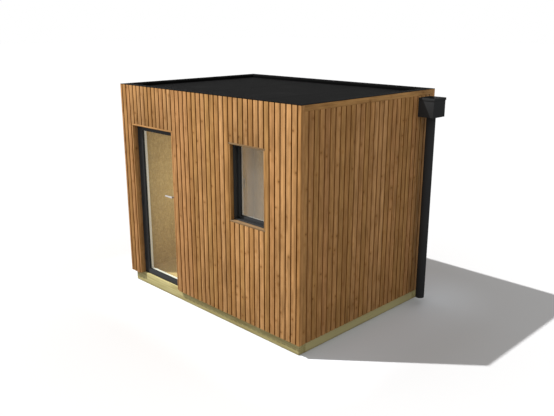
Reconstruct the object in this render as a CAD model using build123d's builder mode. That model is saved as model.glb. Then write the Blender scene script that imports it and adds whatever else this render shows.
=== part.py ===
from build123d import *
import os

# Overall sizes of the studio, in millimetres
studio_length = 2970
studio_depth = 2170
studio_height = 2500

# Layers of a wall, from outside in
cladding_thickness = 45
wall_thickness = 100

# Cladding boards, whose solids carry the groove beside every third board
board_pitch = 74
end_board_pitch = 75.5
front_first_groove = 38
end_first_groove = 103.5
boards_per_groove = 3
groove_width = 14
groove_depth = 10

# Base and floor
base_height = 140
bearer_width = 100
joist_width = 47
joist_count = 7
floor_thickness = 18
cladding_lap = 10

# Roof
roof_thickness = 130
membrane_thickness = 3
parapet_height = 40
parapet_width = 62
parapet_slope = 12
cap_thickness = 4
top_trim_height = 60

# Openings of the front wall, from the left face and from the ground
door_from_left = 215
door_width = 770
window_from_left = 1982
window_width = 498
window_sill_height = 1225
head_below_top = 475
header_cover = 54
reveal_thickness = 18
door_recess = 68
window_recess = 45

# Door frame and leaf
frame_sight = 28
stop_overlap = 6
threshold_height = 5
frame_head_rise = 5
leaf_gap = 8
leaf_bottom_gap = 5
leaf_thickness = 62
leaf_member = 56
glazing_lip = 22
glazing_rebate = 15
glazing_clearance = 3
glass_thickness = 8

# Hinges of the door
hinge_count = 3
hinge_end_distance = 190
knuckle_radius = 7
knuckle_length = 46
hinge_standoff = 8
hinge_plate_width = 24
hinge_plate_thickness = 3
hinge_pin_radius = 3.5
hinge_pin_clearance = 0.4
knuckle_gap = 1

# Lever and plates of the door
handle_height = 1260
handle_from_edge = 30
plate_width = 26
plate_length = 210
plate_thickness = 8
plate_drop = 38
spindle_radius = 6
spindle_clearance = 1
neck_radius = 9
lever_length = 118
lever_root_radius = 11
lever_tip_radius = 8
lever_thickness = 14
lever_standoff = 34
lever_edge_radius = 3

# Window
window_frame_depth = 100
window_frame_sight = 20
window_sill_sight = 13
window_head_frame = 31
sash_setback = 45
sash_gap = 3
sash_member = 33
sash_bead_depth = 16
window_handle_base_width = 24
window_handle_base_length = 62
window_handle_base_thickness = 10
window_handle_length = 110
window_handle_grip_width = 16
window_handle_grip_thickness = 12
window_handle_standoff = 18

# Rainwater hopper and pipe
hopper_from_back = 200
hopper_width = 226
hopper_projection = 196
hopper_height = 208
hopper_below_top = 77
hopper_wall = 4
hopper_rim_height = 28
hopper_rim_proud = 4
hopper_corner_radius = 6
pipe_radius = 50
pipe_wall = 3
pipe_ground_gap = 90
spigot_length = 40
spigot_wall = 3
spigot_clearance = 0.5

# Every cut runs past its solid by this much
cut_overrun = 5

# Planes and levels that follow from the sizes
face_x = studio_length / 2
face_y = studio_depth / 2
outer_x = face_x - cladding_thickness
outer_y = face_y - cladding_thickness
inner_x = outer_x - wall_thickness
inner_y = outer_y - wall_thickness
cladding_bottom = base_height - cladding_lap
deck_top = studio_height - parapet_height - membrane_thickness
deck_bottom = deck_top - roof_thickness
opening_head = studio_height - head_below_top
header_bottom = opening_head + header_cover
cladding_top = studio_height - cap_thickness
trim_bottom = studio_height - top_trim_height

door_x0 = door_from_left - face_x
door_x1 = door_x0 + door_width
door_rough_x0 = door_x0 - reveal_thickness
door_rough_x1 = door_x1 + reveal_thickness
window_x0 = window_from_left - face_x
window_x1 = window_x0 + window_width
window_rough_x0 = window_x0 - reveal_thickness
window_rough_x1 = window_x1 + reveal_thickness
window_rough_z0 = window_sill_height - reveal_thickness
reveal_top = opening_head + reveal_thickness

door_front = door_recess - face_y
door_sight_top = opening_head + frame_head_rise
leaf_back = door_front + leaf_thickness
door_stop_front = leaf_back + leaf_gap
door_frame_back = -inner_y
window_front = window_recess - face_y
sash_front = window_front + sash_setback
sash_thickness = glazing_lip + glass_thickness + sash_bead_depth
sash_back = sash_front + sash_thickness
window_frame_back = window_front + window_frame_depth


def save(piece, label):
    """Label a finished piece and write it."""
    piece.part.label = label
    export_step(piece.part, f"parts/{label}.step")


def front_plane(y):
    """The upright plane at y, drawn in x and z."""
    return Plane.XZ.offset(-y)


def inset(rectangle, by):
    """A rectangle (x0, x1, z0, z1) with every side moved in."""
    x0, x1, z0, z1 = rectangle
    return (x0 + by, x1 - by, z0 + by, z1 - by)


def draw_rectangle(rectangle, mode=Mode.ADD):
    """Draw a rectangle given by its two ranges on the sketch in hand."""
    u0, u1, v0, v1 = rectangle
    with Locations(((u0 + u1) / 2, (v0 + v1) / 2)):
        Rectangle(u1 - u0, v1 - v0, mode=mode)


def upright_slabs(label, y0, y1, rectangles):
    """Slabs between two upright planes, each drawn by its x and z ranges."""
    with BuildPart() as slabs:
        with BuildSketch(front_plane(y0)):
            for rectangle in rectangles:
                draw_rectangle(rectangle)
        extrude(amount=y0 - y1)
    save(slabs, label)


def level_slabs(label, z0, z1, rectangles, cuts=()):
    """Slabs between two levels, each drawn by its x and y ranges, less the cuts."""
    with BuildPart() as slabs:
        with BuildSketch(Plane.XY.offset(z0)):
            for rectangle in rectangles:
                draw_rectangle(rectangle)
            for cut in cuts:
                draw_rectangle(cut, mode=Mode.SUBTRACT)
        extrude(amount=z1 - z0)
    save(slabs, label)


def member(outer, inner, side):
    """The corners of one side of a frame, cut through the corners of its two rectangles."""
    ax0, ax1, az0, az1 = outer
    bx0, bx1, bz0, bz1 = inner
    return {
        "left": [(ax0, az0), (bx0, bz0), (bx0, bz1), (ax0, az1)],
        "right": [(ax1, az0), (ax1, az1), (bx1, bz1), (bx1, bz0)],
        "bottom": [(ax0, az0), (ax1, az0), (bx1, bz0), (bx0, bz0)],
        "top": [(ax0, az1), (bx0, bz1), (bx1, bz1), (ax1, az1)],
    }[side]


def draw_members(outer, inner, sides):
    """Draw sides of a mitred frame on the sketch in hand."""
    for side in sides:
        Polygon(*member(outer, inner, side), align=None)


def mitred_members(label, outer, front, layers, sides):
    """Sides of a frame in layers (inner rectangle, back plane), from the front plane back."""
    with BuildPart() as members:
        near = front
        for inner, back in layers:
            with BuildSketch(front_plane(near)):
                draw_members(outer, inner, sides)
            extrude(amount=near - back)
            near = back
    save(members, label)


def make_base():
    """Bearers round the edge, joists between them and the floor deck on the joists."""
    bearer_x = outer_x - bearer_width
    bearer_y = outer_y - bearer_width
    long_bearers = [(-outer_x, outer_x, -outer_y, -bearer_y), (-outer_x, outer_x, bearer_y, outer_y)]
    level_slabs("base_long_bearers", 0, base_height, long_bearers)
    end_bearers = [(-outer_x, -bearer_x, -bearer_y, bearer_y), (bearer_x, outer_x, -bearer_y, bearer_y)]
    level_slabs("base_end_bearers", 0, base_height, end_bearers)
    joist_spacing = (2 * bearer_x - joist_width) / (joist_count - 1)
    with BuildPart() as joists:
        with BuildSketch(Plane.XY):
            with GridLocations(joist_spacing, 0, joist_count, 1):
                Rectangle(joist_width, 2 * bearer_y)
        extrude(amount=base_height)
    save(joists, "floor_joists")
    floor_top = base_height + floor_thickness
    level_slabs("floor_deck", base_height, floor_top, [(-inner_x, inner_x, -inner_y, inner_y)])


def make_walls():
    """Wall panels on the base, the front one split round the door and the window."""
    front, back = -outer_y, -inner_y
    upright_slabs("front_wall_left", front, back, [(-outer_x, door_rough_x0, base_height, header_bottom)])
    between_openings = (door_rough_x1, window_rough_x0, base_height, header_bottom)
    upright_slabs("front_wall_middle", front, back, [between_openings])
    upright_slabs("front_wall_right", front, back, [(window_rough_x1, outer_x, base_height, header_bottom)])
    under_window = (window_rough_x0, window_rough_x1, base_height, window_rough_z0)
    upright_slabs("front_wall_under_window", front, back, [under_window])
    upright_slabs("front_wall_header", front, back, [(-outer_x, outer_x, header_bottom, deck_bottom)])
    upright_slabs("back_wall", inner_y, outer_y, [(-outer_x, outer_x, base_height, deck_bottom)])
    level_slabs("left_wall", base_height, deck_bottom, [(-outer_x, -inner_x, -inner_y, inner_y)])
    level_slabs("right_wall", base_height, deck_bottom, [(inner_x, outer_x, -inner_y, inner_y)])


def groove_ranges(start, end, first, pitch):
    """The range of each groove along a wall that runs from start to end."""
    spacing = boards_per_groove * pitch
    count = int((end - start - first) // spacing) + 1
    centres = [start + first + spacing * step for step in range(count)]
    return [(centre - groove_width / 2, centre + groove_width / 2) for centre in centres]


def make_cladding():
    """Grooved cladding on every wall, to the corners at front and back, with a trim over each end."""
    bottom, top = cladding_bottom, cladding_top
    along_x = groove_ranges(-face_x, face_x, front_first_groove, board_pitch)
    along_y = groove_ranges(-face_y, face_y, end_first_groove, end_board_pitch)
    front_grooves = [(*x, -face_y - cut_overrun, -face_y + groove_depth) for x in along_x]
    back_grooves = [(*x, face_y - groove_depth, face_y + cut_overrun) for x in along_x]
    left_grooves = [(-face_x - cut_overrun, -face_x + groove_depth, *y) for y in along_y]
    right_grooves = [(face_x - groove_depth, face_x + cut_overrun, *y) for y in along_y]
    piers = [
        (-face_x, door_rough_x0, -face_y, -outer_y),
        (door_rough_x1, window_rough_x0, -face_y, -outer_y),
        (window_rough_x1, face_x, -face_y, -outer_y),
    ]
    over_door = (door_rough_x0, door_rough_x1, -face_y, -outer_y)
    at_window = (window_rough_x0, window_rough_x1, -face_y, -outer_y)
    level_slabs("front_cladding_piers", bottom, top, piers, front_grooves)
    level_slabs("front_cladding_headers", reveal_top, top, [over_door, at_window], front_grooves)
    level_slabs("front_cladding_under_window", bottom, window_rough_z0, [at_window], front_grooves)
    level_slabs("back_cladding", bottom, top, [(-face_x, face_x, outer_y, face_y)], back_grooves)
    left_end = (-face_x, -outer_x, -outer_y, outer_y)
    right_end = (outer_x, face_x, -outer_y, outer_y)
    level_slabs("left_cladding", bottom, trim_bottom, [left_end], left_grooves)
    level_slabs("right_cladding", bottom, trim_bottom, [right_end], right_grooves)
    level_slabs("end_top_trims", trim_bottom, top, [left_end, right_end])


def make_reveals():
    """Boards that line the door and window openings out to the cladding's face."""
    door_sides = [
        (door_rough_x0, door_x0, base_height, opening_head),
        (door_x1, door_rough_x1, base_height, opening_head),
    ]
    upright_slabs("door_reveal_sides", -face_y, door_front, door_sides)
    door_head = (door_rough_x0, door_rough_x1, opening_head, reveal_top)
    upright_slabs("door_reveal_head", -face_y, door_front, [door_head])
    window_sides = [
        (window_rough_x0, window_x0, window_sill_height, opening_head),
        (window_x1, window_rough_x1, window_sill_height, opening_head),
    ]
    upright_slabs("window_reveal_sides", -face_y, window_front, window_sides)
    window_ends = [
        (window_rough_x0, window_rough_x1, window_rough_z0, window_sill_height),
        (window_rough_x0, window_rough_x1, opening_head, reveal_top),
    ]
    upright_slabs("window_reveal_head_and_sill", -face_y, window_front, window_ends)


def make_parapets(label, sides):
    """Kerbs round the roof with a thin cap over the cladding, mitred at the corners and sloped inside."""
    outer = (-outer_x, outer_x, -outer_y, outer_y)
    inner = inset(outer, parapet_width)
    with BuildPart() as parapets:
        with BuildSketch(Plane.XY.offset(deck_top)):
            draw_members(outer, inner, sides)
        extrude(amount=studio_height - deck_top)
        with BuildSketch(Plane.XY.offset(cladding_top)):
            draw_members((-face_x, face_x, -face_y, face_y), inner, sides)
        extrude(amount=cap_thickness)
        along = Axis.Y if "left" in sides else Axis.X
        across = Axis.X if "left" in sides else Axis.Y
        top_edges = parapets.edges().filter_by(along).group_by(Axis.Z)[-1].sort_by(across)
        chamfer(top_edges[1:-1], length=parapet_slope)
    save(parapets, label)


def make_roof():
    """Roof deck on the walls, a flat membrane and the kerbs that stand round it."""
    level_slabs("roof_deck", deck_bottom, deck_top, [(-outer_x, outer_x, -outer_y, outer_y)])
    inside_kerbs = inset((-outer_x, outer_x, -outer_y, outer_y), parapet_width)
    level_slabs("roof_membrane", deck_top, deck_top + membrane_thickness, [inside_kerbs])
    make_parapets("long_parapets", ["bottom", "top"])
    make_parapets("end_parapets", ["left", "right"])


def make_door_frame():
    """Jambs and head with a stop behind the leaf, and a low threshold between the jambs."""
    outer = (door_rough_x0, door_rough_x1, base_height, header_bottom)
    sight = (door_x0 + frame_sight, door_x1 - frame_sight, base_height, door_sight_top)
    stop_width = leaf_gap + stop_overlap
    stop = (sight[0] + stop_width, sight[1] - stop_width, base_height, door_sight_top - stop_width)
    layers = [(sight, door_stop_front), (stop, door_frame_back)]
    mitred_members("door_frame_jambs", outer, door_front, layers, ["left", "right"])
    mitred_members("door_frame_head", outer, door_front, layers, ["top"])
    with BuildPart() as threshold:
        with BuildSketch(Plane.XY.offset(base_height)):
            draw_rectangle((sight[0], sight[1], door_front, door_stop_front))
            draw_rectangle((stop[0], stop[1], door_stop_front, door_frame_back))
        extrude(amount=threshold_height)
    save(threshold, "door_threshold")


def make_glazing(name, outer, front, back, member_width):
    """The glass of a leaf in its rebate and the ring of beads that holds it from inside."""
    sight = inset(outer, member_width)
    rebate = inset(outer, member_width - glazing_rebate)
    glass_front = front + glazing_lip
    glass_back = glass_front + glass_thickness
    upright_slabs(f"{name}_glass", glass_front, glass_back, [inset(rebate, glazing_clearance)])
    with BuildPart() as beads:
        with BuildSketch(front_plane(glass_back)):
            draw_rectangle(rebate)
            draw_rectangle(sight, Mode.SUBTRACT)
        extrude(amount=glass_back - back)
    save(beads, f"{name}_glazing_beads")


def leaf_layers(outer, front, back, member_width):
    """The lip in front of the glass and the narrower web behind it."""
    sight = inset(outer, member_width)
    rebate = inset(outer, member_width - glazing_rebate)
    return [(sight, front + glazing_lip), (rebate, back)]


def make_door_leaf(leaf):
    """Mitred stiles and rails round the glass, with a hole for the spindle in the lock stile."""
    layers = leaf_layers(leaf, door_front, leaf_back, leaf_member)
    mitred_members("door_rails", leaf, door_front, layers, ["bottom", "top"])
    with BuildPart() as stiles:
        near = door_front
        for inner, back in layers:
            with BuildSketch(front_plane(near)):
                draw_members(leaf, inner, ["left", "right"])
            extrude(amount=near - back)
            near = back
        with BuildSketch(front_plane(door_front - cut_overrun)):
            with Locations((leaf[1] - handle_from_edge, handle_height)):
                Circle(spindle_radius + spindle_clearance)
        extrude(amount=-leaf_thickness - 2 * cut_overrun, mode=Mode.SUBTRACT)
    save(stiles, "door_stiles")
    make_glazing("door", leaf, door_front, leaf_back, leaf_member)


def hinge_heights(leaf):
    """Levels of the joint between the two halves of each hinge."""
    low = leaf[2] + hinge_end_distance
    high = leaf[3] - hinge_end_distance
    return [low + (high - low) * turn / (hinge_count - 1) for turn in range(hinge_count)]


def make_hinges(leaf):
    """Lift-off hinges: a knuckle with a pin on the frame and a bored knuckle on the leaf."""
    axis_x = leaf[0] - leaf_gap / 2
    axis_y = door_front - hinge_standoff
    plate_y = door_front - hinge_plate_thickness
    frame_edge = leaf[0] - leaf_gap
    with BuildPart() as frame_halves:
        for level in hinge_heights(leaf):
            with BuildSketch(Plane.XY.offset(level - knuckle_length - knuckle_gap / 2)):
                with Locations((axis_x, axis_y)):
                    Circle(knuckle_radius)
                draw_rectangle((frame_edge - hinge_plate_width, axis_x, plate_y, door_front))
            extrude(amount=knuckle_length)
            with BuildSketch(Plane.XY.offset(level - knuckle_length / 2)):
                with Locations((axis_x, axis_y)):
                    Circle(hinge_pin_radius)
            extrude(amount=knuckle_length)
    save(frame_halves, "door_hinge_frame_halves")
    with BuildPart() as leaf_halves:
        for level in hinge_heights(leaf):
            with BuildSketch(Plane.XY.offset(level + knuckle_gap / 2)):
                with Locations((axis_x, axis_y)):
                    Circle(knuckle_radius)
                draw_rectangle((axis_x, leaf[0] + hinge_plate_width, plate_y, door_front))
                with Locations((axis_x, axis_y)):
                    Circle(hinge_pin_radius + hinge_pin_clearance, mode=Mode.SUBTRACT)
            extrude(amount=knuckle_length)
    save(leaf_halves, "door_hinge_leaf_halves")


def make_door_handle(leaf):
    """A plate on each face of the lock stile and one lever pair on a spindle through both."""
    axis_x = leaf[1] - handle_from_edge
    plate_z = handle_height - plate_drop
    with BuildPart() as plates:
        for near in (door_front - plate_thickness, leaf_back):
            with BuildSketch(front_plane(near)):
                with Locations((axis_x, plate_z)):
                    SlotOverall(plate_length, plate_width, rotation=90)
                with Locations((axis_x, handle_height)):
                    Circle(spindle_radius + spindle_clearance, mode=Mode.SUBTRACT)
            extrude(amount=-plate_thickness)
    save(plates, "door_handle_plates")
    outer_face = door_front - plate_thickness
    inner_face = leaf_back + plate_thickness
    outer_end = outer_face - lever_standoff - lever_thickness
    inner_end = inner_face + lever_standoff + lever_thickness
    with BuildPart() as lever:
        with BuildSketch(front_plane(outer_end)):
            with Locations((axis_x, handle_height)):
                Circle(spindle_radius)
        extrude(amount=outer_end - inner_end)
        for near in (outer_end, inner_end - lever_thickness):
            with BuildSketch(front_plane(near)):
                with Locations((axis_x, handle_height)):
                    Circle(lever_root_radius)
                with Locations((axis_x - lever_length, handle_height)):
                    Circle(lever_tip_radius)
                make_hull()
            extrude(amount=-lever_thickness)
        for near in (outer_end + lever_thickness, inner_face + spindle_clearance):
            with BuildSketch(front_plane(near)):
                with Locations((axis_x, handle_height)):
                    Circle(neck_radius)
            extrude(amount=spindle_clearance - lever_standoff)
        ends = lever.faces().filter_by(Axis.Y).sort_by(Axis.Y)
        fillet(ends[0].edges() + ends[-1].edges(), radius=lever_edge_radius)
    save(lever, "door_lever")


def make_door():
    """The door in its frame, with hinges at the left edge and the lever at the right."""
    make_door_frame()
    leaf = (
        door_x0 + frame_sight + leaf_gap,
        door_x1 - frame_sight - leaf_gap,
        base_height + threshold_height + leaf_bottom_gap,
        door_sight_top - leaf_gap,
    )
    make_door_leaf(leaf)
    make_hinges(leaf)
    make_door_handle(leaf)


def make_window_handle(sash):
    """A handle on the inner face of the sash's left stile, its grip pointing down."""
    axis_x = sash[0] + sash_member / 2
    axis_z = (sash[2] + sash[3]) / 2
    base_back = sash_back + window_handle_base_thickness
    grip_front = base_back + window_handle_standoff
    with BuildPart() as handle:
        with BuildSketch(front_plane(sash_back)):
            with Locations((axis_x, axis_z)):
                SlotOverall(window_handle_base_length, window_handle_base_width, rotation=90)
        extrude(amount=-window_handle_base_thickness)
        with BuildSketch(front_plane(base_back)):
            with Locations((axis_x, axis_z)):
                Circle(window_handle_grip_width / 2)
        extrude(amount=-window_handle_standoff)
        with BuildSketch(front_plane(grip_front)):
            with Locations((axis_x, axis_z + window_handle_grip_width / 2 - window_handle_length / 2)):
                SlotOverall(window_handle_length, window_handle_grip_width, rotation=90)
        extrude(amount=-window_handle_grip_thickness)
    save(handle, "window_handle")


def make_window():
    """A deep mitred frame whose front stops a closed sash set back in its pocket."""
    outer = (window_rough_x0, window_rough_x1, window_rough_z0, header_bottom)
    sight = (
        window_x0 + window_frame_sight,
        window_x1 - window_frame_sight,
        window_sill_height + window_sill_sight,
        header_bottom - window_head_frame,
    )
    sash = inset(sight, -stop_overlap)
    pocket = inset(sash, -sash_gap)
    layers = [(sight, sash_front), (pocket, window_frame_back)]
    mitred_members("window_frame_jambs", outer, window_front, layers, ["left", "right"])
    mitred_members("window_frame_rails", outer, window_front, layers, ["bottom", "top"])
    layers = leaf_layers(sash, sash_front, sash_back, sash_member)
    mitred_members("window_sash_stiles", sash, sash_front, layers, ["left", "right"])
    mitred_members("window_sash_rails", sash, sash_front, layers, ["bottom", "top"])
    make_glazing("window", sash, sash_front, sash_back, sash_member)
    make_window_handle(sash)


def make_rainwater():
    """An open hopper on the right wall and the pipe that hangs under it."""
    hopper_top = studio_height - hopper_below_top
    hopper_bottom = hopper_top - hopper_height
    pipe_x = face_x + hopper_projection / 2
    pipe_y = face_y - hopper_from_back
    box_y0 = pipe_y - hopper_width / 2
    box_y1 = pipe_y + hopper_width / 2
    box_x1 = face_x + hopper_projection
    pipe_bore = pipe_radius - pipe_wall
    spigot_radius = pipe_bore - spigot_clearance
    with BuildPart() as hopper:
        with BuildSketch(Plane.XY.offset(hopper_bottom)):
            draw_rectangle((face_x, box_x1, box_y0, box_y1))
        extrude(amount=hopper_height)
        fillet(hopper.edges().filter_by(Axis.Z).group_by(Axis.X)[-1], radius=hopper_corner_radius)
        with BuildSketch(Plane.XY.offset(hopper_top - hopper_rim_height)):
            proud_x1 = box_x1 + hopper_rim_proud
            draw_rectangle((face_x, proud_x1, box_y0 - hopper_rim_proud, box_y1 + hopper_rim_proud))
        extrude(amount=hopper_rim_height)
        with BuildSketch(Plane.XY.offset(hopper_bottom + hopper_wall)):
            inside_x0 = face_x + hopper_wall
            inside_x1 = box_x1 - hopper_wall
            draw_rectangle((inside_x0, inside_x1, box_y0 + hopper_wall, box_y1 - hopper_wall))
        extrude(amount=hopper_height, mode=Mode.SUBTRACT)
        with BuildSketch(Plane.XY.offset(hopper_bottom - spigot_length)):
            with Locations((pipe_x, pipe_y)):
                Circle(spigot_radius)
        extrude(amount=spigot_length + hopper_wall)
        with BuildSketch(Plane.XY.offset(hopper_bottom - spigot_length - cut_overrun)):
            with Locations((pipe_x, pipe_y)):
                Circle(spigot_radius - spigot_wall)
        extrude(amount=spigot_length + hopper_wall + 2 * cut_overrun, mode=Mode.SUBTRACT)
    save(hopper, "hopper")
    with BuildPart() as downpipe:
        with BuildSketch(Plane.XY.offset(pipe_ground_gap)):
            with Locations((pipe_x, pipe_y)):
                Circle(pipe_radius)
                Circle(pipe_bore, mode=Mode.SUBTRACT)
        extrude(amount=hopper_bottom - pipe_ground_gap)
    save(downpipe, "downpipe")


os.makedirs("parts", exist_ok=True)
make_base()
make_walls()
make_cladding()
make_reveals()
make_roof()
make_door()
make_window()
make_rainwater()
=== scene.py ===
"""Looks of a timber-clad garden studio: boards, joinery, roof, rainwater goods and a white stage."""

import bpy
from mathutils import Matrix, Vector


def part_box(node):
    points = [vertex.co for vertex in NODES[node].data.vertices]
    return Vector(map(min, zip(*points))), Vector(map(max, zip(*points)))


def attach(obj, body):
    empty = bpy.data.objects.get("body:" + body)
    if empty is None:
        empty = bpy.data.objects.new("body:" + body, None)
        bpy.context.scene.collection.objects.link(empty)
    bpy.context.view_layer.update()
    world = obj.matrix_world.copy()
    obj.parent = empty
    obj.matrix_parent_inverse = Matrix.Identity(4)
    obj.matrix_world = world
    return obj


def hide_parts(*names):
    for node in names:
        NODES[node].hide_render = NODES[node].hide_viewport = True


bl_info = {
    "name": "Garden studio looks",
    "version": (1, 0, 0),
    "blender": (4, 5, 0),
    "location": "View3D > Sidebar > Studio",
    "description": "Dresses the packed garden studio with boards, joinery, membrane and glass",
    "category": "Object",
}

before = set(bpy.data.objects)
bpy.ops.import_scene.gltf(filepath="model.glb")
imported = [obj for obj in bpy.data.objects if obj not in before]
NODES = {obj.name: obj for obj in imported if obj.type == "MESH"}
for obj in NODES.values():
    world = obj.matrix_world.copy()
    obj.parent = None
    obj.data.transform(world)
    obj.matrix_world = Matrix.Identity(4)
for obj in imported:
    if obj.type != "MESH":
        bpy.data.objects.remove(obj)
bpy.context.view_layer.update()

import math
import random
from typing import NamedTuple

import bmesh
import bpy
from bpy.props import FloatProperty, FloatVectorProperty, IntProperty, PointerProperty
from mathutils import Vector

FRONT_LOW, FRONT_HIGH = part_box("front_cladding_piers")
CLADDING_DEPTH = FRONT_HIGH.y - FRONT_LOW.y
ROOM_HALF_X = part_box("right_wall")[0].x
ROOM_HALF_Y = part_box("back_wall")[0].y

# The picture's width in pixels, and how far the camera sees, in metres
IMAGE_WIDTH = 554
VIEW_END = 400.0

# The face layer that holds each board's tone, below zero in a groove, where the face takes the painted
# groove shade
TONE_LAYER = "board"
CORNER_TONE = 0.35

# A pattern's shift by a board's tone, and the lining's strands: their scale, and each layer's turn and shift
BOARD_SHIFT = (31.7, 17.3, 53.1)
STRAND_SCALE = (14, 38, 38)
STRAND_LAYERS = ((0.4, (0, 0, 0)), (1.35, (5.2, 1.7, 9.1)))

# Sizes of what lies behind the boards, in metres
TONGUE_EASE = 0.0003
TONGUE_SETBACK = 0.001
TONGUE_SLIVER = 0.0005
BATTEN_EASE = 0.0005
BATTEN_ABOVE_FOOT = 0.012
BATTEN_BELOW_TOP = 0.045
BATTEN_WIDTH = 0.0449
BATTEN_SHORTEST = 0.01

# Rounding of edges, in metres
TRIM_EASE = 0.002
REVEAL_EASE = 0.0018
TIMBER_EASE = 0.003
KERB_EASE = 0.0016
SMALL_EASE = 0.0008
PANE_EASE = 0.001
BEAD_EASE = 0.002
PLATE_EASE = 0.0022
LEVER_EASE = 0.0012
HOPPER_EASE = 0.0015
PIPE_EASE = 0.0012

# Gaskets, lock cylinders and screws, in metres. A disc is its radius, height and number of sides
GASKET_LIP = 0.015
GASKET_WIDTH = 0.0035
GASKET_DEPTH = 0.005
GASKET_EASE = 0.002
CYLINDER_UP = 0.078
CYLINDER_DISC = (0.0085, 0.003, 24)
SCREW_IN = 0.014
SCREW_DISC = (0.0038, 0.0012, 16)

# Heights up to which the timber's foot is fully darker and where the darkening ends, and the reach of the
# painted shade in the room's corners
FOOT_DARK_FULL = 0.012
FOOT_DARK_END = 0.034
CORNER_REACH = 0.16

# How meshes are cleaned and rounded
TOUCH = 1e-6
NO_LENGTH = 2e-6
FLAT_ANGLE = math.radians(1.5)
CORNER_ANGLE = math.radians(35)
ROUND_SHARE = 0.3

# Roof sheet: a lap's width, and its swells by radians a metre, phase and share of the height
LAP_WIDTH = 0.075
FEWEST_ROWS = 8
SWELL_SEED = 19
SWELL_COUNT = 9
SWELL_WAVES = (2, 9)
SWELL_PHASE = (0, 6.28)
SWELL_SHARE = (0.2, 1.0)

# Lights in the room: name, share of the room's width and depth, share of the power
ROOM_LAMPS = (("room_light_door", 0.33, 0.37, 0.65), ("room_light_window", 0.84, 0.3, 0.35))
ROOM_LAMP_RADIUS = 0.35
SUN_PLACE = (-3.0, -3.0, 6.0)
FLOOR_HALF = 90.0

# Glass: its index of refraction, and the share of light that dust on it lets through
GLASS_INDEX = 1.5
DUST_THROUGH = 0.82

# Colours of small things
WHITE = (1.0, 1.0, 1.0)
PANE_DUST = (0.76, 0.75, 0.7)
BEAD_GRIME = (0.62, 0.58, 0.5)
GASKET_COLOUR = (0.012, 0.012, 0.013)
GASKET_DUST = (0.035, 0.034, 0.033)
STEEL_BRUSHED = (0.5, 0.49, 0.47)


# Shader maths

class Wire:
    """One node output, with operators that add Math nodes."""

    def __init__(self, nodes, socket):
        self.nodes = nodes
        self.socket = socket

    def maths(self, operation, *others):
        """A Math node with this value first."""
        values = dict(enumerate((self, *others)))
        return self.nodes.node("ShaderNodeMath", {"operation": operation}, values)

    def __add__(self, other):
        return self.maths("ADD", other)

    __radd__ = __add__

    def __sub__(self, other):
        return self.maths("SUBTRACT", other)

    def __rsub__(self, other):
        return self.nodes.node("ShaderNodeMath", {"operation": "SUBTRACT"}, {0: other, 1: self})

    def __mul__(self, other):
        return self.maths("MULTIPLY", other)

    __rmul__ = __mul__

    def rise(self, low, high):
        """0 below low, 1 above high, smooth between."""
        settings = {"interpolation_type": "SMOOTHSTEP"}
        return self.nodes.node("ShaderNodeMapRange", settings, {0: self, 1: low, 2: high, 3: 0.0, 4: 1.0})


class Nodes:
    """A node tree that one method fills."""

    def __init__(self, tree):
        self.tree = tree
        tree.nodes.clear()

    def node(self, kind, settings=None, inputs=None, output=0):
        """Add a node, set it up, fill its sockets and give back one output where it has any."""
        made = self.tree.nodes.new(kind)
        for key, value in (settings or {}).items():
            if key == "stops":
                self.fill_ramp(made.color_ramp, value)
            else:
                setattr(made, key, value)
        for key, value in (inputs or {}).items():
            if isinstance(value, Wire):
                self.tree.links.new(value.socket, made.inputs[key])
            elif made.inputs[key].type == "RGBA":
                made.inputs[key].default_value = (*value, 1.0)
            else:
                made.inputs[key].default_value = value
        return Wire(self, made.outputs[output]) if len(made.outputs) else None

    def fill_ramp(self, ramp, stops):
        """Set the places and colours of a colour ramp."""
        while len(ramp.elements) < len(stops):
            ramp.elements.new(1.0)
        for element, (place, colour) in zip(ramp.elements, stops):
            element.position = place
            element.color = (*colour, 1.0)


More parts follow.
